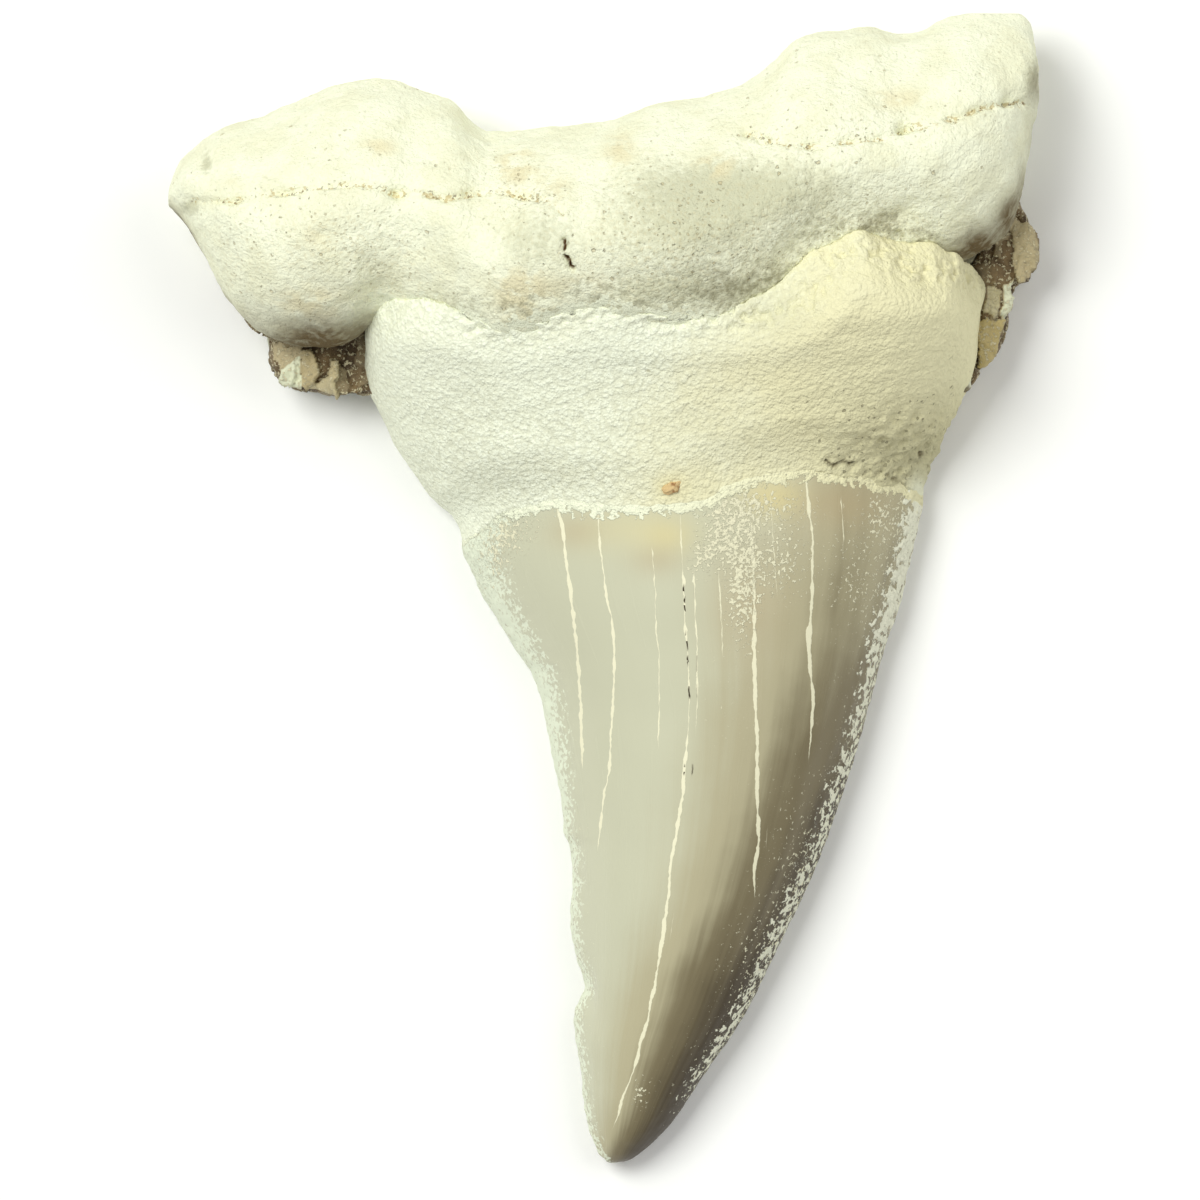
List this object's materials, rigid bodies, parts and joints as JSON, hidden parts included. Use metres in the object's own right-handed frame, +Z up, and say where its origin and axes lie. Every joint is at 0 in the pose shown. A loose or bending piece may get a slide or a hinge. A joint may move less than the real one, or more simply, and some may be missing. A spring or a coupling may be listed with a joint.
{
  "type": "fossil shark tooth",
  "caption": "Fossil shark tooth with a two-lobed chalky root, a smooth curved crown, broken side cusps and a crust of sandy rock on its neck, lying flat face down.",
  "frame": {"origin": "middle of the tooth's box in plan, on the surface that the tooth lies on", "axes": "+Y from the crown's tip towards the root, +Z up out of the rounded inner face, +X to the right seen from above with the root at the top"},
  "size_m": [0.0492, 0.0652, 0.0165],
  "materials": {
    "tooth": "chalky, porous cream bone",
    "enamel": "smooth, semi-gloss grey-beige that darkens to brown",
    "broken_dentine": "rough splintered brown",
    "sandy_matrix": "grainy off-white sandstone"
  },
  "bodies": {
    "root": {"tooth": "tooth", "sandy_matrix": "sandy_matrix"}
  },
  "joints": []
}
